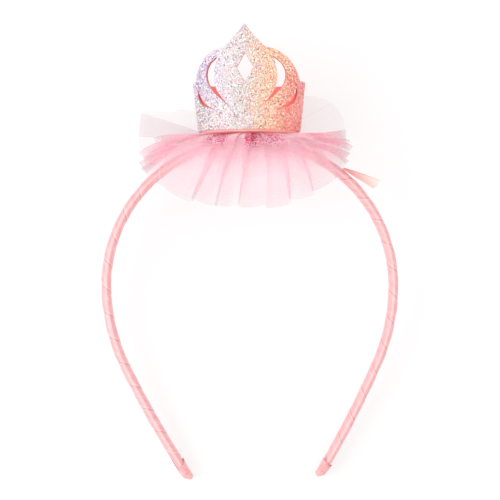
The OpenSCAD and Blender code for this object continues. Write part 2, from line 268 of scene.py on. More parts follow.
# A surface on a grid of points. uv is in millimetres on the cloth, one more row than the points where
# the rows close. A capped one gets a last face over the end of its columns.
def gridPiece(name, points, uv, closed=False, flip=False, capped=False):
    rows, cols = points.shape[:2]
    index = np.arange(rows*cols).reshape(rows, cols)
    if closed:
        index = np.vstack([index, index[:1]])
    faces = gridFaces(index, flip).tolist()
    flat = uv.reshape(-1, 2)
    loopUv = flat[gridFaces(np.arange(len(flat)).reshape(uv.shape[:2]), flip)].reshape(-1, 2)
    if capped:
        end = np.arange(rows)*cols + cols - 1
        faces.append((end[::-1] if flip else end).tolist())
        loopUv = np.vstack([loopUv, uv[:rows, -1][::-1] if flip else uv[:rows, -1]])
    return meshPiece(name, points, faces, loopUv)


def place(piece, material, slot, *nodes):
    piece.data.materials.append(material)
    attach(piece, "root")
    if nodes:
        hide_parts(*nodes)
    return piece


# A number for each point, which a material reads by name
def pointValues(piece, name, values):
    attribute = piece.data.attributes.new(name, "FLOAT", "POINT")
    attribute.data.foreach_set("value", values.ravel())


# Turns X, Y and Z to three axes and moves the origin to a place, for the camera and the lamp
def turnedTo(axes, at):
    return Matrix([[*(axis[i] for axis in axes), at[i]] for i in range(3)] + [[0, 0, 0, 1]])


# Camera: straight at the front of the worn headband, rolled a little
camera = {
    "distance": 850,
    "x": 0.44,
    "z": 15.4,
    "roll": 1.35,         # degrees
    "across": 219.6,      # millimetres across the view at the band
    "sensor": 36,
    "clip": 0.01,         # metres
}
eye = laid(np.array([camera["x"], -camera["distance"], camera["z"]]))
rollCos, rollSin = cosd(camera["roll"]), sind(camera["roll"])
axes = np.array([[rollCos, 0, -rollSin], [rollSin, 0, rollCos], [0, -1, 0]])
camData = bpy.data.cameras.new("camera")
camData.sensor_width = camera["sensor"]
camData.lens = camera["sensor"]*camera["distance"]/camera["across"]
camData.clip_start = camera["clip"]
cam = linked("camera", camData)
cam.matrix_world = turnedTo(1000*(laid(axes) - laid(np.zeros(3))), eye)
scene = bpy.context.scene
scene.camera = cam

# Studio: white surroundings and one wide soft lamp on the left
studio = {
    "fill": 1.0,
    "key": 5.5,           # watts
    "keySize": 0.9,       # metres
    "keyAt": (-1.0, -0.15, 0.75),
    "floor": 3.0,         # metres across
    "floorGap": 0.0003,   # metres under the lowest point
    "floorGlow": 0.6,     # light from below, which keeps the card pale
}
scene.view_settings.view_transform = "Standard"
scene.cycles.transparent_max_bounces = 32
world = bpy.data.worlds.new("studio")
world.use_nodes = True
background = world.node_tree.nodes["Background"]
background.inputs["Color"].default_value = (1, 1, 1, 1)
background.inputs["Strength"].default_value = studio["fill"]
scene.world = world
keyData = bpy.data.lights.new("key", "AREA")
keyData.energy = studio["key"]
keyData.size = studio["keySize"]
key = linked("key", keyData)
keyBack = unit(np.array(studio["keyAt"]))
keySide = unit(np.cross([0, 0, 1], keyBack))
key.matrix_world = turnedTo([keySide, np.cross(keyBack, keySide), keyBack], studio["keyAt"])

# Paper sweep: matt white card with a faint tooth, partly lit from below so that it stays pale
mat = newMaterial("white card")
tooth = noise(mat, addNode(mat, "TexCoord").outputs["Object"], 900, 3)
finishMaterial(mat, Base_Color=linear("#a6a6a6"), Roughness=0.9, Normal=bumpy(mat, tooth, 0.05, 0.0002),
               Emission_Color=(1, 1, 1, 1), Emission_Strength=studio["floorGlow"])
half = studio["floor"]/2
corners = np.array([[-half, -half, 0], [half, -half, 0], [half, half, 0], [-half, half, 0]])
floor = meshPiece("floor", corners, [[0, 1, 2, 3]], smooth=False)
floor.location.z = -studio["floorGap"]
floor.data.materials.append(mat)
print("camera, light and floor made")

# Woven polyester satin: long floats give a soft streaky gloss, and the weave runs along the ribbon
ribbon = {
    "pitch": 11.3,        # advance of the winding in one turn
    "overlap": 1.4,       # how far each turn lies over the last
    "step": 0.26,         # height of the upper edge over the turn below
    "round": 17.5,        # once round the band's section
    "thread": 0.35,       # drawn coarser than the real 0.1 mm so that the streaks show
    "streak": 0.22,       # streaks in each millimetre along the ribbon
    "squareness": 2.5,    # of the band's section: 2 is an ellipse
    "shade": (1.1, 0.1),  # from the next turn's edge: where its shade begins and where it is deepest
    "edgeHighlight": (0.75, 0.35),  # from the ribbon's edge: where its painted highlight ends and where it is full
    "highlightShare": 0.75,        # share of the way round at which a pale painted highlight runs along the front of the band
    "highlightWidth": (0.05, 0.01),
    "intoTip": 1.5,       # how far the winding runs on under the folded end
    "under": (13, 4),     # the plain turn at each end: how far before and past the winding's end
    "underDrop": 0.03,
    "plain": 3,           # a place across the ribbon that is clear of its edges
}


def satin(name, deep, pale):
    mat = newMaterial(name)
    cloth = onCloth(mat)
    stretched = addNode(mat, "Mapping", {
        "Vector": cloth, "Scale": (ribbon["streak"], 1/ribbon["thread"], 1)})
    streaks = noise(mat, stretched.outputs["Vector"], 1, 4, 0.65)
    cloudy = noise(mat, cloth, 0.35, 2)
    shade = mapped(mat, reckon(mat, "ADD", streaks, cloudy), 0.72, 1.28)
    return finishMaterial(mat, Base_Color=ramp(mat, shade, [(0.0, deep), (1.0, pale)]),
                          Roughness=mapped(mat, streaks, 0.3, 0.7, 0.26, 0.42),
                          Normal=bumpy(mat, streaks, 0.35, 0.0002), Specular_IOR_Level=0.7,
                          Sheen_Weight=0.35, Sheen_Roughness=0.35, Sheen_Tint=linear("#fff4e6"))


# Puts a second colour over a finished material where a factor is high
def overlay(mat, factor, hexText):
    shader = next(n for n in mat.node_tree.nodes if n.type == "BSDF_PRINCIPLED")
    base = shader.inputs["Base Color"].links[0].from_socket
    mat.node_tree.links.new(mixed(mat, factor, base, linear(hexText)), shader.inputs["Base Color"])
    return mat


mat = ribbonSatin = satin("satin ribbon", "#ec9da2", "#f7bfc1")
alongTurn, acrossRibbon, _ = parted(mat, onCloth(mat))
# the woven edge of each turn catches the light and throws a thin shade on the turn below
begins, deepest = (ribbon["pitch"] - inset for inset in ribbon["shade"])
overlay(mat, mapped(mat, acrossRibbon, begins, deepest, high=0.75, smooth=True), "#cf7d84")
overlay(mat, mapped(mat, acrossRibbon, *ribbon["edgeHighlight"], high=0.35), "#fff0ea")
# and a pale painted highlight runs along the front of the band, three quarters of the way round
turned = reckon(mat, "FRACT", reckon(mat, "DIVIDE", alongTurn, ribbon["round"]))
fromHighlight = reckon(mat, "ABSOLUTE", reckon(mat, "SUBTRACT", turned, ribbon["highlightShare"]))
overlay(mat, mapped(mat, fromHighlight, *ribbon["highlightWidth"], high=0.35, smooth=True), "#fff2e8")

# The band's arcs: where each begins along it, the degrees turned by then, its centre and radius
topMiddle, sideMiddle, legMiddle = (
    headband[part] - headband["thickness"]/2 for part in ("topRadius", "sideRadius", "legRadius"))
topLength = topMiddle*math.pi/2
legFrom = topLength + sideMiddle*math.radians(headband["sideTurn"])
arcs = np.array([
    [0, 0, 0, 0, topMiddle],
    [topLength, 90, *sideCentre, sideMiddle],
    [legFrom, 90 + headband["sideTurn"], *legCentre, legMiddle]])


# Middle of the band at a distance from its top, and the way out from it: three arcs that meet
# smoothly, mirrored for the left half
def bandPath(s):
    d = np.abs(s)
    which = np.searchsorted(arcs[:, 0], d, "right") - 1
    start, begun, cx, cz, radius = np.moveaxis(arcs[which], -1, 0)
    turn = begun + np.degrees((d - start)/radius)
    side = np.where(s < 0, -1, 1)
    out = np.stack([side*sind(turn), 0*turn, cosd(turn)], -1)
    mid = np.stack([side*(cx + radius*sind(turn)), 0*turn, cz + radius*cosd(turn)], -1)
    return mid, out


# Rounded section: a superellipse, half width along the way out and half depth towards the front
def sectionPoint(phi, halfWidth, halfDepth):
    c, s = np.cos(phi), np.sin(phi)
    power = 2/ribbon["squareness"]
    return halfWidth*np.sign(c)*np.abs(c)**power, halfDepth*np.sign(s)*np.abs(s)**power


# The ribbon as one long strip: turns follow a helix round the band, and across the strip its surface
# falls from the upper edge, which lies on the last turn, to the lower edge under the next one. Three
# sine waves of about 0.03 mm crease it, and die away at both edges.
def woundRibbon(reach, stepsInTurn=48):
    turns = 2*reach/ribbon["pitch"] - 1
    phi = np.linspace(0, 2*math.pi*turns, int(stepsInTurn*turns))[:, None]
    v = np.array([0, 0.012, 0.03, 0.1, 0.22, 0.36, 0.5, 0.64, 0.78, 0.9, 1.0])[None, :]
    width = ribbon["pitch"] + ribbon["overlap"]
    s = -reach + ribbon["pitch"]*phi/(2*math.pi) + v*width
    height = np.interp(v, [0, 0.012, 0.03, 1 - ribbon["overlap"]/width, 1],
                       [0.02, 0.19, ribbon["step"], 0.05, 0.0])
    creases = 0.035*np.sin(5*phi + 9*v) + 0.03*np.sin(2.3*phi - 14*v + 1) + 0.03*np.sin(2.59*phi + 3*v)
    return phi + 0*v, np.minimum(s, reach), height + creases*np.sin(math.pi*v), v*width + 0*phi


# The first turn at each end starts on the slant, so a plain turn lies under it and under the tip
def underTurn(side, reach, steps=41, rings=12):
    before, past = ribbon["under"]
    phi = np.linspace(0, 2*math.pi, steps)[:, None]
    s = side*np.linspace(reach - before, reach + past, rings)[None, ::side]
    flat = 0*(phi + s)
    return phi + flat, s + flat, flat - ribbon["underDrop"], flat + ribbon["plain"]


def onBand(phi, s, height):
    mid, out = bandPath(s)
    w, d = sectionPoint(phi, headband["thickness"]/2, headband["depth"]/2)
    grow = 1 + height/np.hypot(w, d)
    points = mid + (w*grow)[..., None]*out
    points[..., 1] += d*grow
    return points


reach = legFrom + legMiddle*math.radians(tipAngle - headband["sideTurn"]) + tip["mouth"] + ribbon["intoTip"]
places, faces, uvs, count = [], [], [], 0
for phi, s, height, across in (woundRibbon(reach), underTurn(-1, reach), underTurn(1, reach)):
    points = onBand(phi, s, height)
    index = np.arange(phi.size).reshape(phi.shape)
    corners = gridFaces(index, flip=True)
    uv = np.stack([phi/(2*math.pi)*ribbon["round"], across], -1).reshape(-1, 2)
    places.append(laid(points).reshape(-1, 3))
    faces.append(corners + count)
    uvs.append(uv[corners].reshape(-1, 2))
    count = count + phi.size
band = meshPiece("ribbonBand", np.concatenate(places), np.concatenate(faces).tolist(), np.concatenate(uvs))
place(band, ribbonSatin, "ribbon", "band")
print("band wound:", len(band.data.polygons), "faces")

# Tips: the ribbon's end folded over the strip. The mouth is a slanted cut edge, and the end is creased
# to a blunt toe on the inner side.
fold = {
    "outerTaper": 5.0,    # length over which the outer side runs in to the toe
    "innerTaper": 1.7,
    "depthTaper": 2.2,
    "toe": 0.35,          # how far the toe lies inwards of the middle
    "lip": 0.5,           # thickness of the folded plies at the mouth
    "spikeWidth": 24,     # degrees
    "frayWidth": 62,      # degrees to each side of the spike
    "frayLength": 1.4,
    "creaseAt": 5.2,      # a shallow crease across the outer side
    "creaseDepth": 0.08,
    "creaseWidth": 0.5,
}
spikes = {"tipLeft": (0.0, 1.5, 0.55), "tipRight": (180.0, 0.9, 0.5)}  # degrees round, length, lift


# Frayed satin: as the ribbon, with threads of the cut edge lying crosswise near the mouth
def frayedSatin(name):
    mat = satin(name, "#f19ea2", "#fabdbc")
    cloth = onCloth(mat)
    threads = []
    for way in (38, -52):
        turned = addNode(mat, "Mapping", {"Vector": cloth, "Rotation": (0, 0, math.radians(way))})
        wave = addNode(mat, "TexWave", {
            "Vector": turned.outputs["Vector"], "Scale": 0.42, "Distortion": 1.5, "Detail": 2})
        threads.append(wave.outputs["Fac"])
    gaps = mapped(mat, reckon(mat, "MINIMUM", *threads), 0.35, 0.1)
    return overlay(mat, reckon(mat, "MULTIPLY", gaps, valueOf(mat, "frayed")), "#a8524c")


# Section by section down the tip: x inwards, y in depth, z down the leg. At d before the end the outer
# side is in by (1 - d/taper)^2.2, the inner side and the depth by a quarter circle. Fraying dies away
# from the mouth as exp(-z/length).
def tipPoints(spike):
    phi = np.linspace(0, 2*math.pi, 56, endpoint=False)[:, None]
    v = np.concatenate([[0, 0], np.linspace(0, 0.55, 16), 1 - 0.45*np.linspace(1, 0.06, 22)**1.6])[None, :]
    halfX, halfY = tipThickness/2, tipDepth/2
    around, out, lift = spike
    apart = (np.degrees(phi) - around + 180) % 360 - 180
    bump = np.exp(-(apart/fold["spikeWidth"])**2)
    near = halfX*np.cos(phi)
    start = tip["mouth"] - near*math.tan(math.radians(tip["slant"])) - out*bump
    z = start + v*(tip["length"] - start)
    d = tip["length"] - z
    outer = 1 - np.clip(1 - d/fold["outerTaper"], 0, 1)**2.2
    inner = np.sqrt(np.clip(1 - np.clip(1 - d/fold["innerTaper"], 0, 1)**2, 0.0004, 1))
    deep = np.sqrt(np.clip(1 - np.clip(1 - d/fold["depthTaper"], 0, 1)**2, 0.0004, 1))
    toe = fold["toe"]*(1 - outer)
    high, low = toe + (halfX - toe)*inner, toe - (halfX + toe)*outer
    w, h = sectionPoint(phi + 0*v, 1, 1)
    x = (high + low)/2 + w*(high - low)/2
    y = h*halfY*deep
    # a slow swell on the outer side, a twist, the crease and the spike's lifted end
    swell = 0.05*np.sin(2*phi + 0.9*z)*deep - 0.06*np.sin(math.pi*np.clip((z - 2)/6, 0, 1))*np.cos(phi)
    fromCrease = z - fold["creaseAt"] + 1.1*np.sin(phi)
    crease = fold["creaseDepth"]*np.exp(-(fromCrease/fold["creaseWidth"])**2)*(np.cos(phi) < 0.6)
    raised = lift*bump*np.clip(1 - v*5, 0, 1)
    grow = 1 + (swell - crease*deep + raised)/np.maximum(np.hypot(x, y), 1)
    inward = np.where(np.arange(v.size)[None, :] == 0, 1 - fold["lip"]/np.hypot(x, y), 1)
    x, y = x*grow*inward, y*grow*inward
    mid = np.array([tipStart[0], 0, tipStart[1]])
    wayX = np.array([-cosd(tipAngle), 0, sind(tipAngle)])
    wayZ = np.array([tipWay[0], 0, tipWay[1]])
    points = mid + x[..., None]*wayX + z[..., None]*wayZ + y[..., None]*np.array([0, -1.0, 0])
    atSpike = 0.12 + 0.88*np.exp(-(apart/fold["frayWidth"])**2)*(np.sin(phi) > -0.3)
    frayed = np.exp(-np.maximum(0, z - start - 0.3)/fold["frayLength"])*atSpike
    uv = np.stack([np.vstack([phi, [[2*math.pi]]])*2.8 + 0*v, np.vstack([z, z[:1]])], -1)
    return points, uv, frayed


tipSatin = frayedSatin("folded ribbon end")
for name, spike in spikes.items():
    points, uv, frayed = tipPoints(spike)
    left = name == "tipLeft"
    if left:
        points[..., 0] *= -1
    piece = gridPiece(name, laid(points), uv, closed=True, flip=left, capped=True)
    pointValues(piece, "frayed", frayed*(0.25 if left else 1.0))
    place(piece, tipSatin, "tip_ribbon", "tip_left" if left else "tip_right")
print("tips folded")

# Crown
glitter = {
    "flakes": 17000,
    "flakeSize": 0.68,    # across the corners
    "dust": 9000,
    "dustSize": 0.4,
    "tilt": 0.22,         # spread of the flakes' slopes
    "lowest": 0.08,       # height over the wall
    "stack": 0.22,        # depth of the layer of flakes
    "canvasGrain": 0.45,
    # where the tints change: shares of the crown's radius to the right, and heights over the rim
    "warmFrom": 0.1,
    "coralFrom": 0.62,
    "coralRise": (12, 22, 0.4),  # begins, runs on for, and ends this much further right
    "violetTo": -0.6,
    "violetAbove": 13,
    "sideBlur": 0.16,
    "heightBlur": 2,
}

# Felted polyester, pressed: short matted fibres, no shine, a soft bloom at grazing angles, painted paler
# along the hem, painted light against the shade under the rim, with a faint glow for the light that
# bounces about inside the crown
mat = newMaterial("coral felt")
coords = crownCoordinates(mat)
fibres = noise(mat, coords, 2.2, 6, 0.75)
shade = mapped(mat, reckon(mat, "ADD", fibres, noise(mat, coords, 0.35, 2)), 0.7, 1.3)
paintedHemLight = mapped(mat, parted(mat, coords)[2], rimZ + 2.5, rimZ + 0.9)
feltWithHemLight = mixed(mat, paintedHemLight, ramp(mat, shade, [(0, "#f4726c"), (1, "#ff8f86")]), linear("#ffc2b8"))
feltCoral = finishMaterial(mat, Base_Color=feltWithHemLight, Roughness=0.95, Normal=bumpy(mat, fibres, 0.6, 0.0003),
                           Sheen_Weight=0.3, Sheen_Roughness=0.6, Emission_Color=feltWithHemLight,
                           Emission_Strength=0.18)

# The same felt and fabric where the laser cut them: a thin dark brown line near the glitter side, painted
# shade on the cut faces and in the seam between fabric and felt, by the depth in from the crown's outer
# cone
mat = newMaterial("cut edge with painted shade")
coords = crownCoordinates(mat)
x, y, z = parted(mat, coords)
flat = addNode(mat, "CombineXYZ", {"X": x, "Y": y}).outputs["Vector"]
radius = addNode(mat, "VectorMath", {0: flat}, operation="LENGTH").outputs["Value"]
cone = reckon(mat, "MULTIPLY_ADD", z, slope, crown["radius"] - rimZ*slope)
edgeNoise = noise(mat, coords, 1.5, 3)
uneven = reckon(mat, "MULTIPLY_ADD", edgeNoise, 0.5, reckon(mat, "SUBTRACT", cone, radius))
cutEdge = finishMaterial(
    mat, Base_Color=ramp(mat, reckon(mat, "DIVIDE", uneven, 2.6), [
        (0.22, "#f2d6d2"), (0.34, "#b4695a"), (0.42, "#93493d"), (0.52, "#f27b72")]),
    Roughness=0.9, Normal=bumpy(mat, edgeNoise, 0.4, 0.0002))

# Glitter canvas: polyurethane on cloth, full of film dust, cool on the left of the point and warm to coral
# on the right: painted reflection of the opal film, whose colour turns with its angle to the lamp and the
# view, and painted shade on the side away from the lamp, both set by place across the crown
mat = newMaterial("glitter canvas")
coords = crownCoordinates(mat)
wide = crown["radius"] + 3
across = mapped(mat, parted(mat, coords)[0], -wide, wide)
dust = addNode(mat, "TexVoronoi", {"Vector": coords, "Scale": 1/glitter["canvasGrain"]})
dustShade = addNode(mat, "SeparateColor", {"Color": dust.outputs["Color"]})
tone = ramp(mat, across, [(0.0, "#b5b0cc"), (0.2, "#d6cadd"), (0.42, "#ddd0d6"), (0.55, "#f0cdc8"),
                          (0.75, "#fdc3a0"), (0.95, "#fb8078")])
grains = ramp(mat, dustShade.outputs["Red"], [(0, "#b9a9ad"), (0.35, "#e8dcdc"), (1, "#ffffff")])
canvas = finishMaterial(mat, Base_Color=mixed(mat, 0.85, tone, grains, "MULTIPLY"), Roughness=0.35,
                        Metallic=0.3, Normal=bumpy(mat, dustShade.outputs["Green"], 0.5, 0.0002))


# Depth in from the crown's outer cone of points in the crown's own frame
def wallDepth(p):
    return crown["radius"] + (p[..., 2] - rimZ)*slope - np.hypot(p[..., 0], p[..., 1])


def cornerPoints(mesh):
    mesh.calc_loop_triangles()
    co = np.empty(3*len(mesh.vertices))
    mesh.vertices.foreach_get("co", co)
    tris = np.empty(3*len(mesh.loop_triangles), dtype=np.int64)
    mesh.loop_triangles.foreach_get("vertices", tris)
    return unseated(co.reshape(-1, 3))[tris.reshape(-1, 3)]


# The wall's faces get the first material; those that lie across the wall, away from the rim, the second
def dressWall(nodeName, wall, edge, facing=0.8, edgeFrom=1.5):
    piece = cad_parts[nodeName]
    tri = cornerPoints(piece.data)
    normal = unit(np.cross(tri[:, 1] - tri[:, 0], tri[:, 2] - tri[:, 0]))
    middle = tri.mean(1)
    outwards = np.abs((normal[:, :2]*unit(middle[:, :2])).sum(1))
    piece.data.materials.clear()
    piece.data.materials.append(wall)
    piece.data.materials.append(edge)
    index = np.zeros(len(piece.data.polygons), dtype=np.int32)
    polygonOf = np.empty(len(piece.data.loop_triangles), dtype=np.int64)
    piece.data.loop_triangles.foreach_get("polygon_index", polygonOf)
    index[polygonOf] = (outwards < facing) & (middle[:, 2] > rimZ + edgeFrom)
    piece.data.polygons.foreach_set("material_index", index)


dressWall("crown_shell", canvas, cutEdge)
dressWall("crown_lining", feltCoral, cutEdge)
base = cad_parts["crown_base"]
base.data.materials.clear()
base.data.materials.append(feltCoral)

# Polyester film flakes, hexagons punched from opal film: violet, pink and mint on one side, peach, gold
# and coral on the other, set by place as painted reflection; paler at a slant, a painted sheen, and
# glowing faintly in their own tint, painted light that lifts the side away from the lamp
mat = newMaterial("opal glitter flakes")
tint = addNode(mat, "Attribute", attribute_name="flakeTint").outputs["Color"]
glints = addNode(mat, "LayerWeight", {"Blend": 0.18}).outputs["Facing"]
opalFilm = finishMaterial(mat, Base_Color=mixed(mat, glints, tint, linear("#fff3f6")), Metallic=0.1,
                          Roughness=0.22, Coat_Weight=0.4, Coat_Roughness=0.08, Emission_Color=tint,
                          Emission_Strength=0.1)

# violet, cool, warm and coral tints of the film, and how common the nine of each are; the last, darker
# one of each is painted shade for flakes turned away from the light
palettes = [
    ["#cdbbde", "#e2bedc", "#f8eef4", "#d3d6e6", "#d2c4d4", "#d6d2e0", "#f0c4d6", "#eadce6", "#83768a"],
    ["#d6ccd8", "#eacad6", "#fcf6f0", "#cfe4d2", "#d8d2c8", "#d6dada", "#f2ccca", "#f0e4d8", "#857b7e"],
    ["#ffd2ae", "#ffb991", "#fff0b4", "#ffa292", "#fff3e2", "#ffc6c0", "#ffdfc8", "#f8e6cf", "#a97a66"],
    ["#ff8c84", "#ff9c90", "#ff827c", "#ffb69a", "#ff918c", "#ffa69c", "#ff8880", "#ffcfa4", "#ea7b70"],
]
tintShares = [0.15, 0.13, 0.17, 0.09, 0.13, 0.1, 0.12, 0.07, 0.04]


# Hexagons scattered over the outer wall by area, each turned and tipped at random, and small where
# the wall's cut edge is near; wallSlack is how far a face may leave the cone and still be outer wall
def scatterFlakes(wallSlack=0.06, edgeSteps=13, batch=500):
    rng = np.random.default_rng(11)
    tri = cornerPoints(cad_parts["crown_shell"].data)
    tri = tri[(np.abs(wallDepth(tri)) < wallSlack).all(1)]
    edges = np.concatenate([tri[:, [0, 1]], tri[:, [1, 2]], tri[:, [2, 0]]])
    named = np.sort(np.round(edges*1000).astype(np.int64)@np.array([1, 1 << 20, 1 << 40]), axis=1)
    _, where, count = np.unique(named, axis=0, return_index=True, return_counts=True)
    rim = edges[where[count == 1]]
    along = np.linspace(0, 1, edgeSteps)[None, :, None]
    rim = (rim[:, :1]*(1 - along) + rim[:, 1:]*along).reshape(-1, 3).astype(np.float32)
    area = np.linalg.norm(np.cross(tri[:, 1] - tri[:, 0], tri[:, 2] - tri[:, 0]), axis=1)/2
    total = glitter["flakes"] + glitter["dust"]
    chosen = rng.choice(len(tri), total, p=area/area.sum())
    a, b = rng.random((2, total))
    beyond = a + b > 1
    a, b = np.where(beyond, 1 - a, a), np.where(beyond, 1 - b, b)
    p, q, r = tri[chosen].swapaxes(0, 1)
    at = p + a[:, None]*(q - p) + b[:, None]*(r - p)
    near = np.concatenate([
        np.sqrt(((at[i:i + batch, None].astype(np.float32) - rim[None])**2).sum(-1).min(1))
        for i in range(0, total, batch)])
    size = np.where(np.arange(total) < glitter["flakes"], glitter["flakeSize"], glitter["dustSize"])
    size = size*rng.uniform(0.75, 1.15, total)
    size = np.minimum(size, np.maximum(0.3, 2.4*near))
    angle = np.arctan2(at[:, 0], -at[:, 1])
    cf, sf = cosd(crown["flare"]), sind(crown["flare"])
    out = np.stack([np.sin(angle)*cf, -np.cos(angle)*cf, np.full(total, -sf)], -1)
    roundWay = np.stack([np.cos(angle), np.sin(angle), 0*angle], -1)
    upWay = np.cross(out, roundWay)
    tipped = rng.normal(size=(total, 1))*roundWay + rng.normal(size=(total, 1))*upWay
    normal = unit(out + glitter["tilt"]*tipped)
    first = unit(np.cross(normal, upWay))
    second = np.cross(normal, first)
    onCone = at + wallDepth(at)[:, None]*out
    centre = onCone + (glitter["lowest"] + glitter["stack"]*rng.random(total))[:, None]*out
    spin = rng.uniform(0, math.pi/3, total)[:, None] + np.arange(6)[None, :]*math.pi/3
    corner = centre[:, None] + size[:, None, None]/2*(
        np.cos(spin)[..., None]*first[:, None] + np.sin(spin)[..., None]*second[:, None])
    # the tint: cool, violet up at the far left, warm to the right, coral at the far right and furthest in
    # low
    # down, drawn by chance near each change: painted reflection of the turning opal film and painted shade
    # on the side away from the lamp
    side = at[:, 0]/crown["radius"] + glitter["sideBlur"]*rng.normal(size=total)
    height = at[:, 2] - rimZ + glitter["heightBlur"]*rng.normal(size=total)
    begins, runs, further = glitter["coralRise"]
    coral = side > glitter["coralFrom"] + further*np.clip((height - begins)/runs, 0, 1)
    violet = (side < glitter["violetTo"]) & (height > glitter["violetAbove"])
    family = np.where(violet, 0, 1 + (side > glitter["warmFrom"]) + coral)
    film = np.array([[linear(c) for c in tints] for tints in palettes])
    return corner, film[family, rng.choice(len(tintShares), total, p=tintShares)]


corner, tints = scatterFlakes()
faces = np.arange(len(corner)*6).reshape(-1, 6).tolist()
flakes = meshPiece("crownFlakes", seated(corner), faces, smooth=False)
attribute = flakes.data.color_attributes.new("flakeTint", "FLOAT_COLOR", "POINT")
attribute.data.foreach_set("color", np.repeat(tints, 6, axis=0).ravel())
place(flakes, opalFilm, "glitter")
print("crown dressed:", len(faces), "flakes")

# Net ruffle
# Hems of the front layers: angle round the crown from the front, then shares of the reach and drop
lowerHem = np.array([
    [-112, 0.9, 0.3], [-95, 0.94, 0.37], [-78, 0.94, 0.47], [-60, 0.98, 0.6], [-50, 0.95, 0.79],
    [-42, 0.9, 0.89], [-22, 0.77, 0.98], [0, 0.72, 1.0], [20, 0.74, 0.97], [40, 0.84, 0.84],
    [58, 0.88, 0.64], [76, 0.86, 0.42], [94, 0.87, 0.28], [112, 0.87, 0.2]])
middleHem = np.array([
    [-112, 0.9, 0.2], [-95, 0.94, 0.26], [-78, 0.95, 0.32], [-60, 0.93, 0.41], [-42, 0.83, 0.52],
    [-22, 0.74, 0.6], [0, 0.7, 0.61], [20, 0.71, 0.6], [40, 0.78, 0.54], [58, 0.86, 0.38],
    [76, 0.9, 0.25], [94, 0.89, 0.15], [112, 0.87, 0.09]])
upperHem = np.array([
    [-112, 0.76, 0.03], [-95, 0.82, 0.08], [-78, 0.84, 0.12], [-60, 0.84, 0.17], [-42, 0.78, 0.23],
    [-22, 0.71, 0.31], [0, 0.69, 0.32], [20, 0.7, 0.31], [40, 0.73, 0.25], [58, 0.8, 0.14],
    [76, 0.86, 0.05], [94, 0.86, 0.01], [112, 0.82, 0.0]])
# level counts the layers down from the disc. shoulder and turn shape the fall of the cloth, phase turns
# the pleats towards the hem, leaning is the chance that a pleat lies to the left or right, loose its
# plies at the hem, ragged how far the hem jumps. veil and wing are the cover of one ply at the hem in
# front and at the sides, and the crowding dies away over the share fade of the way, at opens.
layers = {
    "tulleUpper": {"node": "tulle_upper", "slot": "net_upper", "level": 0, "hem": upperHem,
                   "shoulder": 0.68, "turn": 3.8, "phase": 0, "seed": 3, "leaning": (0.5, 0.5),
                   "loose": (0.85, 1.25), "ragged": 1.2, "veil": 0.04, "wing": 0.15,
                   "opens": 0.98, "fade": 0.36},
    "tulleMiddle": {"node": "tulle_middle", "slot": "net_middle", "level": 1, "hem": middleHem,
                    "shoulder": 0.60, "turn": 3.1, "phase": 55, "seed": 4, "leaning": (0.4, 0.6),
                    "loose": (0.8, 1.25), "ragged": 2.0, "veil": 0.08, "wing": 0.2,
                    "opens": 0.99, "fade": 0.4},
    "tulleLower": {"node": "tulle_lower", "slot": "net_lower", "level": 2, "hem": lowerHem,
                   "shoulder": 0.50, "turn": 2, "phase": 120, "seed": 5, "leaning": (0.35, 0.65),
                   "loose": (0.8, 1.15), "ragged": 2.2, "veil": 0.22, "wing": 0.2,
                   "opens": 1.02, "fade": 0.46},
}
# How strongly the upper layer is bunched under the rim: angle round the crown, strength
bunches = np.array([[-44, 0], [-37, 1.2], [-23, 1.6], [-17, 0.4], [-5, 0.35], [-3, 2.4], [5, 2.2],
                    [9, 0.9], [20, 1.6], [29, 1.1], [35, 0]])
# Pale openings between the folds of the lower two layers: angle at the hem, half width in degrees,
# share of the way at which they begin, share of the cover that they take away
openings = [(-37, 5.0, 0.74, 0.5), (-24, 5.0, 0.62, 0.6), (-10, 4.5, 0.5, 0.75), (33, 6.0, 0.62, 0.65)]


# Shares of the way along a sheet and out across it
def shares(rows, cols):
    return np.linspace(0, 1, rows)[:, None], np.linspace(0, 1, cols)[None, :]


# Column of a table at an angle, eased over a few degrees
def eased(table, column, a, ease=6):
    def read(x):
        return np.interp(x, table[:, 0], table[:, column])
    return (read(a - ease) + 2*read(a) + read(a + ease))/4


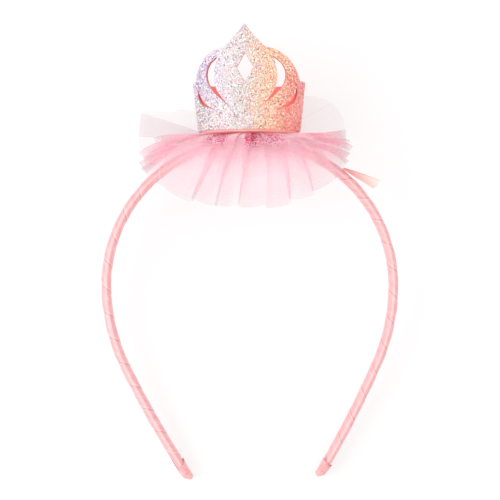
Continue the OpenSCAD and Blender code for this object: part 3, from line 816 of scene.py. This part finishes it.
# Front layer of net. Along its length the cloth swings to and fro in angle as well as up and down,
# so that each pleat folds over itself in three plies; out from the gather it follows a shoulder down
# to the hem: r = r0(1-t)^2 + 2 r1 t(1-t) + r2 t^2 and z = z0 + (z2 - z0) t^turn. The hem runs straight
# between the pleats and changes by chance at each. Also gives the angle and t of each point.
def frontLayer(spec, rows=1300, cols=44):
    rng = np.random.default_rng(spec["seed"])
    s, t = shares(rows, cols)
    a = net["span"]*(2*s - 1)
    # three waves of up to 45, 20 and 55 degrees make the pleats uneven
    uneven = 45*sind(1.7*a + 20) + 20*sind(5.3*a) + 55*sind(6.3*a + 80*spec["level"])
    phase = net["pleats"]*a + uneven + spec["phase"]*t**2
    first = np.floor((phase.min() + 180)/360)
    count = int(np.floor((phase.max() + 180)/360) - first) + 1
    which = (np.floor((phase + 180)/360) - first).astype(int)
    sign = rng.choice([-1, 1], count, p=spec["leaning"])[which]
    loose = rng.uniform(*spec["loose"], count)[which]
    # the hem's corners lie 50 degrees of phase to each side of a crest, and hardly jump at the sides
    corners = 360*(first + np.arange(count)[:, None]) + np.array([-50, 50])
    notch = np.interp(phase, corners.ravel(), rng.uniform(0, 1, 2*count))
    notch = notch*(1 - 0.85*np.clip((np.abs(a) - 45)/25, 0, 1))
    wave, swing = cosd(phase), sind(phase)
    # plies at each distance: the hem's length over the arc there, so the folds open out to the hem, and
    # how far the cloth has to swing for that many, by a table of the trochoid's laps
    spread = np.clip(0.24 + 0.76*t**0.9, 0.3, 1)
    plies = loose/spread
    swings = np.linspace(1, 6, 200)
    laps = 1 + 2*(np.sqrt(swings**2 - 1) - np.arccos(1/swings))/math.pi
    folded = np.interp(plies, laps, swings)
    angle = a - np.degrees(folded*swing/net["pleats"])
    # the gathering thread's fine crimps, which die away towards the hem
    fine = sind(3.5*phase + 40*np.sin(0.05*a))
    angle = angle + 0.3*fine*(1 - t)**1.5
    bottom = baseZ - headband["seam"] - net["cloth"]/2 - spec["level"]*(net["cloth"] + net["layerGap"])
    onBand = (headband["topRadius"] + headband["seam"])**2 - (bottom - net["cloth"]/2)**2
    r0 = math.sqrt(max(net["gatherMin"]**2, onBand))
    r2 = eased(spec["hem"], 1, angle)*net["reach"] - net["hemNotch"]*notch
    z2 = rimZ - eased(spec["hem"], 2, angle)*net["drop"] + spec["ragged"]*notch
    r1 = r0 + spec["shoulder"]*(r2 - r0)
    r = r0*(1 - t)**2 + 2*r1*t*(1 - t) + r2*t**2
    z = bottom + (z2 - bottom)*t**spec["turn"]
    dr = 2*(1 - t)*(r1 - r0) + 2*t*(r2 - r1)
    dz = spec["turn"]*(z2 - bottom)*t**(spec["turn"] - 1)
    pleat = net["pleatDepth"]*(np.maximum(0, r - baseRadius)/(net["reach"] - baseRadius))**1.3
    push = pleat*(0.7*wave + 0.4*sign*swing) + 0.18*sign*swing + 0.1*fine*(1 - t)
    w = push/np.hypot(dr, dz)
    rr = r - w*dz
    points = np.stack([rr*sind(angle), -rr*cosd(angle), z + w*dr], -1)
    return points, angle, t + 0*angle


def lengths(points, axis):
    return np.linalg.norm(np.diff(points, axis=axis), axis=-1).sum(axis)


# Takes cover away in wedges round the openings, which widen with the way: 1 - taken sqrt(w) exp(-x^2/w^2).
# On the middle layer they begin later.
def withOpenings(cover, angle, t, level, least=0.05):
    for at, width, begins, taken in openings:
        begins = begins if level == 2 else (1 + begins)/2
        opened = np.clip((t - begins)/(1 - begins), 0, 1)
        across = (angle - at)/(width*np.maximum(opened, least))
        cover = cover*(1 - taken*np.sqrt(opened)*np.exp(-across**2))
    return cover


# Nylon tulle, heat-set hexagonal mesh: each ply is a thin veil, and colour builds up where plies
# overlap and where the gather crowds them
tulle = {
    "cell": 0.7,          # width of a mesh cell
    "thread": 0.05,       # extra cover on the threads
    "grain": 0.85,        # size of the magenta speckles where meshes cross in the gathers
    "crowded": 0.62,      # extra cover of one ply at the gather
    "bunched": 0.5,       # and where it is bunched
    "glow": 0.09,         # light that comes through the crowded plies from behind
    "wings": (35, 30),    # degrees at which the sides begin, and over how many they come in
    "wingLoss": 0.5,      # share of the crowding that the sides lack
}


# Cover and bunching are read from the piece's own attributes. Threads lie where three waves of the
# cell's width, turned by 60 degrees from each other, add up to little. The base colour follows the
# cover from hem to gather and turns paler again where the plies crowd, painted light against their shade;
# speckles of the bunch colour lie over it, and the crowded plies glow a little, painted light.
def netMaterial(name, hemColour, midColour, bunchColour):
    mat = newMaterial(name)
    cloth = onCloth(mat)
    perCell = 2*math.pi/(tulle["cell"]*math.sqrt(3)/2)
    total = None
    for way in (0, 60, 120):
        along = addNode(mat, "VectorMath", {
            0: cloth, 1: (perCell*cosd(way), perCell*sind(way), 0)}, operation="DOT_PRODUCT")
        ripple = reckon(mat, "COSINE", along.outputs["Value"])
        total = ripple if total is None else reckon(mat, "ADD", total, ripple)
    threads = mapped(mat, total, -0.2, -1.1, smooth=True)
    cover = valueOf(mat, "cover")
    alpha = reckon(mat, "MULTIPLY_ADD", threads, tulle["thread"], cover, use_clamp=True)
    colour = ramp(mat, cover, [(0.12, hemColour), (0.38, midColour), (0.75, "#ffdde6")])
    speckles = addNode(mat, "TexVoronoi", {
        "Vector": addNode(mat, "TexCoord").outputs["Object"],
        "Scale": 1000/tulle["grain"], "Randomness": 0.7}).outputs["Distance"]
    strength = reckon(mat, "MULTIPLY", valueOf(mat, "bunched"), mapped(mat, speckles, 0.2, 0.6, 1.3, 0.3))
    tinted = mixed(mat, strength, colour, linear(bunchColour))
    glow = mixed(mat, mapped(mat, cover, 0.15, 0.75), (0, 0, 0, 1), tinted)
    return finishMaterial(mat, Base_Color=tinted, Roughness=0.7, Alpha=alpha, Sheen_Weight=0.2,
                          Sheen_Roughness=0.5, Emission_Color=glow, Emission_Strength=tulle["glow"])


def netPiece(name, points, cover, bunched, material, slot, node, toRow):
    width, length = lengths(points, 0).max(), lengths(points, 1).mean()
    s, t = shares(*points.shape[:2])
    piece = gridPiece(name, toRow(points), np.stack([s*width + 0*t, t*length + 0*s], -1))
    pointValues(piece, "cover", cover + 0*s)
    pointValues(piece, "bunched", bunched + 0*s)
    place(piece, material, slot, node)
    return piece


netPink = netMaterial("pink tulle", "#dcc0c6", "#fbc4cf", "#c80c54")
netPale = netMaterial("pale pink tulle", "#c9aeb4", "#fac0cc", "#d9668d")
for name, spec in layers.items():
    points, angle, t = frontLayer(spec)
    wingFrom, wingOver = tulle["wings"]
    sides = np.clip((np.abs(angle) - wingFrom)/wingOver, 0, 1)
    gathered = np.clip((spec["opens"] - t)/spec["fade"], 0, 1)
    cover = spec["veil"] + (spec["wing"] - spec["veil"])*sides
    cover = cover + tulle["crowded"]*(1 - tulle["wingLoss"]*sides)*gathered
    bunched = 0*t
    if spec["level"] == 0:
        bunched = np.interp(angle, bunches[:, 0], bunches[:, 1])*np.interp(t, [0.6, 0.8, 0.97], [1, 0.7, 0])
        cover = cover + tulle["bunched"]*bunched
    else:
        cover = withOpenings(cover, angle, t, spec["level"])
    netPiece(name, points, cover, bunched, netPale if spec["level"] == 2 else netPink,
             spec["slot"], spec["node"], seated)

# Rear layer, drawn on the floor round the middle of the crown's rear rim: angle from the crown's
# point, share of the reach, ripple, share of the way at which it touches the floor
rearHem = np.array([
    [-108, 0.62, 0.3, 0.55], [-90, 0.69, 0.6, 0.52], [-78, 0.7, 0.8, 0.48], [-72, 0.72, 0.8, 0.42],
    [-69, 0.44, 0.4, 0.34], [-64, 0.42, 0.4, 0.3], [-58, 0.22, 0.0, 0.2], [-40, 0.06, 0.0, 0.14],
    [-20, 0.0, 0.0, 0.12], [0, 0.0, 0.0, 0.1], [20, 0.02, 0.0, 0.12], [40, 0.2, 0.0, 0.14],
    [53, 0.38, 0.6, 0.24], [63, 0.5, 0.9, 0.36], [77, 0.57, 0.9, 0.48], [90, 0.57, 0.7, 0.52],
    [108, 0.56, 0.3, 0.55]])
rear = {
    "length": 15,         # from the middle of the rim, where the hem table says 0
    "span": 108,          # degrees to each side, at the hem
    "gather": 52,         # and at the gather
    "gatherIn": 2,        # how far the gather lies inside the disc's edge
    "curlShare": 0.5,     # share of the way that lies in the curl
    "ripples": 13,        # in a full turn
    "lift": 1.2,
    "veil": 0.1,
    "plyGap": 0.45,
    "plyRise": 1.6,
}
# Pressed folds of the rear layer: angle at the hem, width in degrees, how far it laps, and by how many
# degrees it bends away towards the gather
rearFolds = np.array([
    [-80, 11.0, 2.3, -12], [-52, 3.0, 2.0, 0], [-30, 4.0, 2.0, 0], [-6, 4.0, 2.0, 0],
    [22, 4.0, 2.0, 0], [46, 3.0, 2.0, 0], [67, 3.0, 1.3, 8], [88, 5.0, 2.4, 6]])


# Straight on the floor from the hem in to where it touches, then curled up under the felt disc:
# a quadratic curve from the gather to there, and a straight run with waves that grow as the square.
# At a fold the angle turns back for a while, a - lap w x exp(-x^2/2), and the plies lie over each other.
def rearLayer(rows=1100, cols=44):
    s, t = shares(rows, cols)
    side = 2*s - 1
    hub = 1000*seated(np.array([0, crown["radius"], rimZ - net["cloth"] - rear["lift"]]))
    flatAngle = rear["span"]*side
    phase = rear["ripples"]*flatAngle
    angle = flatAngle + 0.25*np.degrees(sind(2*phase + 60*sind(0.9*flatAngle))/(2*rear["ripples"]))*t
    plies = 0*angle
    for at, width, lap, bend in rearFolds:
        x = (flatAngle - at - bend*(1 - t)**2)/width
        bell = x*np.exp(-x**2/2)
        angle = angle - lap*width*bell
        plies = plies + rear["plyGap"]*rear["plyRise"]*bell
    g = rear["gather"]*side
    gatherR = baseRadius - rear["gatherIn"]
    top = baseZ - headband["seam"] - net["cloth"]/2 - (net["cloth"] + net["layerGap"])
    start = 1000*seated(np.stack([gatherR*sind(g), gatherR*cosd(g), 0*g + top], -1))
    reach = rear["length"] + eased(rearHem, 1, angle, 2)*net["reach"]
    touch = eased(rearHem, 3, angle)
    way = np.stack([sind(angle), cosd(angle), 0*angle], -1)
    onFloor = np.array([hub[0], hub[1], net["cloth"]/2])
    down = onFloor + (touch*reach)[..., None]*way
    under = np.stack([(3*start[..., 0] + down[..., 0])/4, (7*start[..., 1] + down[..., 1])/8,
                      0*touch + net["cloth"]/2], -1)
    u = np.minimum(1, t/rear["curlShare"])[..., None]
    v = np.maximum(0, (t - rear["curlShare"])/(1 - rear["curlShare"]))
    curl = (1 - u)**2*start + 2*u*(1 - u)*under + u**2*down
    far = touch + v*(1 - touch)
    wave = (1 - cosd(phase))/2*eased(rearHem, 2, angle)*net["pleatDepth"]
    run = onFloor + (far*reach)[..., None]*way
    run[..., 2] += wave*v**2 + (plies + rear["plyGap"])*np.minimum(1, 3*v)
    points = np.where((t < rear["curlShare"])[..., None], curl, run)
    return points, t + 0*angle


def metres(p):
    return p/1000


points, t = rearLayer()
netPiece("tulleRear", points, rear["veil"] + tulle["crowded"]*(1 - t)**3, 0*t, netPink, "net_rear",
         "tulle_rear", metres)
print("net gathered")

# Label: narrow satin folded in two, its ends at the ribbon, left blank. It is pinker towards its root,
# and glows a little all over, painted light that lifts the shade at its root.
label = {
    "length": 16.7,
    "width": 8,
    "woven": 10,          # with the edges that are pressed under
    "at": 50,             # degrees up from the widest point of the band
    "leave": 13,          # degrees away from the band
    "twist": 34,          # degrees towards the front at the fold
    "plyGap": 0.34,
    "corner": 1.6,        # how far the fold's front corner is drawn back
    "cloth": 1,           # thickness of the CAD piece
    "wave": 0.22,
}
mat = newMaterial("label satin")
cloth = onCloth(mat)
fromFold = reckon(mat, "ABSOLUTE", reckon(mat, "SUBTRACT", parted(mat, cloth)[1], label["length"]))
weave = addNode(mat, "Mapping", {"Vector": cloth, "Scale": (6, 1.2, 1)})
floats = noise(mat, weave.outputs["Vector"], 1, 4)
fade = reckon(mat, "MULTIPLY_ADD", floats, 0.35, reckon(mat, "DIVIDE", fromFold, label["length"]))
labelSatin = finishMaterial(
    mat, Base_Color=ramp(mat, fade, [
        (0.2, "#f6eae0"), (0.5, "#f3ddd4"), (0.8, "#f0c4bc"), (1.0, "#e79f9a")]),
    Roughness=0.42, Normal=bumpy(mat, floats, 0.3, 0.0001), Sheen_Weight=0.3, Sheen_Roughness=0.4,
    Emission_Color=linear("#f0c0b8"), Emission_Strength=0.2)


# Out along the upper ply, round the fold and back along the lower one
def foldedLabel(rows=90, cols=17):
    turn = math.pi*label["plyGap"]/2
    total = 2*label["length"] + turn
    way = np.linspace(0, total, rows)[:, None]
    v = np.linspace(-1, 1, cols)[None, :]
    onTop = way < label["length"]
    foldTurn = np.clip((way - label["length"])/turn, 0, 1)*math.pi
    s = np.where(onTop, way, np.where(way < label["length"] + turn, label["length"], total - way))
    s = s + label["plyGap"]/2*np.sin(foldTurn)
    side = np.cos(foldTurn)*label["plyGap"]/2
    drawn = np.clip(-v - 0.2, 0, 1)**1.5*np.clip(s/label["length"], 0, 1)**6
    s = s*(1 - label["corner"]/label["length"]*drawn)
    reach = label["at"] - 90 + label["leave"]
    root = headband["topRadius"] + headband["seam"] + label["cloth"]/2
    share = s/label["length"]
    a = label["twist"]*share
    mid = np.stack([root*cosd(label["at"]) + s*cosd(reach), 0*s,
                    root*sind(label["at"]) + s*sind(reach)], -1)
    up = np.stack([-sind(reach)*cosd(a), sind(a), cosd(reach)*cosd(a)], -1)
    across = np.stack([-sind(reach)*sind(a), -cosd(a), cosd(reach)*sind(a)], -1)
    wave = label["wave"]*np.sin(3.4*share + 1.2*v)*share
    points = mid + (side + wave)[..., None]*up + (v*label["width"]/2)[..., None]*across
    uv = np.stack([v*label["width"]/2 + 0*way, way + 0*v], -1)
    return points, uv, total


points, uv, total = foldedLabel()
piece = place(gridPiece("labelStrip", laid(points), uv), labelSatin, "label_satin", "label")
print("label folded")
